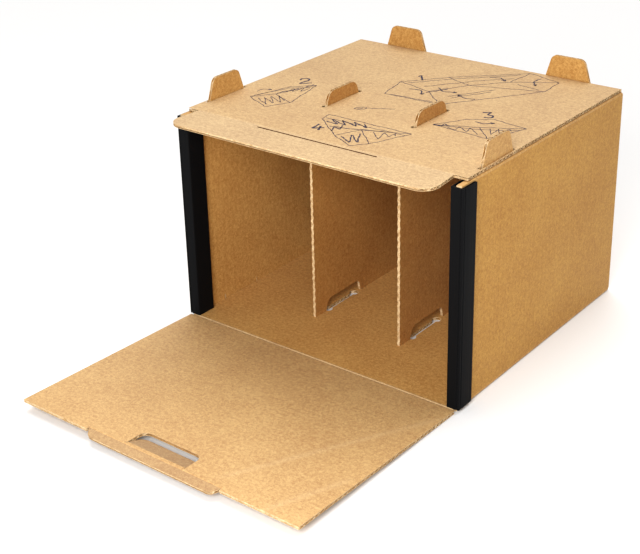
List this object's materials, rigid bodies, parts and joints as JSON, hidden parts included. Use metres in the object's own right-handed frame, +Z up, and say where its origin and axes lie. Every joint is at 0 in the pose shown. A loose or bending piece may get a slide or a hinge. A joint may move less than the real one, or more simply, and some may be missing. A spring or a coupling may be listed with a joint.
{
  "type": "archival box",
  "caption": "Front-loading archive carton of kraft corrugated board, standing open: fold-down door with hand hole, hinged lid with lip, dividers, stacking tabs and black corner posts.",
  "frame": {"origin": "on the ground, under the middle of the box body", "axes": "+X to the right as seen from the door, +Y from the door to the back, +Z up"},
  "size_m": [0.4176, 0.6789, 0.313],
  "materials": {
    "kraft_board": "matte",
    "post_plastic": "satin"
  },
  "bodies": {
    "carcass": {"floor_panel": "kraft_board", "back_wall": "kraft_board", "left_side_panel": "kraft_board", "right_side_panel": "kraft_board", "left_side_rim": "kraft_board", "right_side_rim": "kraft_board", "left_side_liner": "kraft_board", "right_side_liner": "kraft_board", "left_rear_flap": "kraft_board", "right_rear_flap": "kraft_board", "left_divider": "kraft_board", "right_divider": "kraft_board", "left_corner_post": "post_plastic", "right_corner_post": "post_plastic"},
    "door": {"front_door": "kraft_board"},
    "tongue": {"door_tongue": "kraft_board"},
    "hole_flap": {"hand_hole_flap": "kraft_board"},
    "lid": {"lid_panel": "kraft_board"},
    "lip": {"front_lip": "kraft_board"}
  },
  "joints": [
    {"name": "door_fold", "type": "hinge", "parent": "carcass", "child": "door", "pos_m": [0, -0.1925, 0.0036], "axis": [-1, 0, 0], "range_deg": [-2.1, 87.9]},
    {"name": "tongue_fold", "type": "hinge", "parent": "door", "child": "tongue", "pos_m": [0, -0.47431, 0.01393], "axis": [-1, 0, 0], "range_deg": [-16, 128]},
    {"name": "hole_flap_fold", "type": "hinge", "parent": "door", "child": "hole_flap", "pos_m": [0, -0.47131, 0.01382], "axis": [1, 0, 0], "range_deg": [-2.5, 38]},
    {"name": "lid_fold", "type": "hinge", "parent": "carcass", "child": "lid", "pos_m": [0, 0.1887, 0.285], "axis": [-1, 0, 0], "range_deg": [0, 88]},
    {"name": "lip_fold", "type": "hinge", "parent": "lid", "child": "lip", "pos_m": [0, -0.1755, 0.2814], "axis": [1, 0, 0], "range_deg": [-2.5, 90.5]}
  ],
  "couplings": [
    {"joint": "lip_fold", "follows": "door_fold", "ratio": 1.0238}
  ]
}
